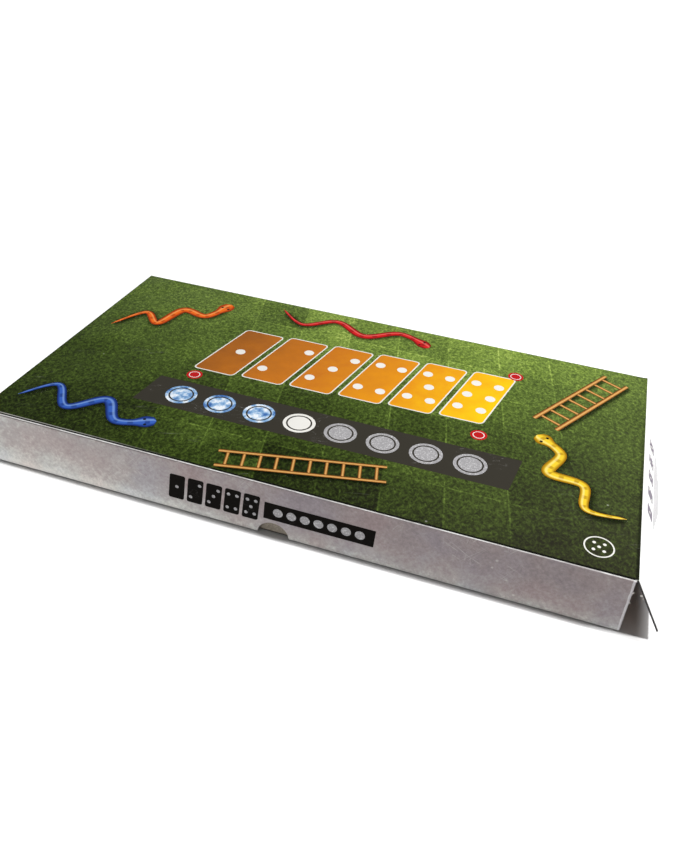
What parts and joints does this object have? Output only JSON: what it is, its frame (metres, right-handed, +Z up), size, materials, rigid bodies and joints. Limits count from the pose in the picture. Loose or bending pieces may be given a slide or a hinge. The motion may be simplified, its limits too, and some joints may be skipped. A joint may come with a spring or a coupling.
{
  "type": "boxed snakes and ladders game",
  "caption": "Boxed snakes and ladders game: folded carton lid with a sprung-open end flap over a tray that holds a folding board, card insert, pawns, a die and rules.",
  "frame": {"origin": "middle of the tray's underside, on the table", "axes": "+X along the length of the box towards the open end flap, +Y towards the back, +Z up"},
  "size_m": [0.5009, 0.26, 0.045],
  "materials": {
    "lid_print": "printed and gloss laminated",
    "lid_silver": "silver print, gloss laminated, scuffed",
    "flap_white": "white print, gloss laminated, bare board inside",
    "grey_board": "bare grey board",
    "insert_board": "uncoated white-lined card",
    "leaf_board": "paper-covered board with a printed playing face",
    "hinge_cloth": "book cloth tape",
    "rules_paper": "uncoated paper",
    "red_plastic": "moulded",
    "blue_plastic": "moulded",
    "yellow_plastic": "moulded",
    "green_plastic": "moulded",
    "die_plastic": "moulded, with painted pips"
  },
  "bodies": {
    "tray": {"tray_floor": "grey_board", "tray_front_wall": "grey_board", "tray_back_wall": "grey_board", "tray_left_wall": "grey_board", "tray_right_wall": "grey_board", "tray_glue_tab_front_left": "grey_board", "tray_glue_tab_back_left": "grey_board", "tray_glue_tab_front_right": "grey_board", "tray_glue_tab_back_right": "grey_board", "card_insert": "insert_board", "rules_leaflet": "rules_paper", "pawn_red": "red_plastic", "pawn_blue": "blue_plastic", "pawn_yellow": "yellow_plastic", "pawn_green": "green_plastic", "die": "die_plastic"},
    "lid": {"lid_top": "lid_print", "lid_front_wall": "lid_silver", "lid_back_wall": "lid_silver", "lid_left_wall": "lid_silver", "lid_glue_tab_front_left": "grey_board", "lid_glue_tab_back_left": "grey_board", "lid_glue_tab_front_right": "grey_board", "lid_glue_tab_back_right": "grey_board"},
    "end_flap": {"lid_end_flap": "flap_white"},
    "lower_leaf": {"board_lower_leaf": "leaf_board", "board_hinge_tape": "hinge_cloth"},
    "upper_leaf": {"board_upper_leaf": "leaf_board"}
  },
  "joints": [
    {"name": "lid_lift", "type": "slide", "parent": "tray", "child": "lid", "axis": [0, 0, 1], "range_m": [0, 0.8]},
    {"name": "flap_crease", "type": "hinge", "parent": "lid", "child": "end_flap", "pos_m": [0.2394, 0, 0.0444], "axis": [0, -1, 0], "range_deg": [-29.5, 60.5]},
    {"name": "board_lift", "type": "slide", "parent": "tray", "child": "lower_leaf", "axis": [0, 0, 1], "range_m": [0, 0.08]},
    {"name": "board_fold", "type": "hinge", "parent": "lower_leaf", "child": "upper_leaf", "pos_m": [0, 0.1247, 0.03325], "axis": [-1, 0, 0], "range_deg": [0, 180], "deforming": ["board_hinge_tape"]}
  ],
  "couplings": [
    {"joint": "board_lift", "follows": "lid_lift", "ratio": 0.1},
    {"joint": "board_fold", "follows": "lid_lift", "rad_per_m": 3.927}
  ]
}
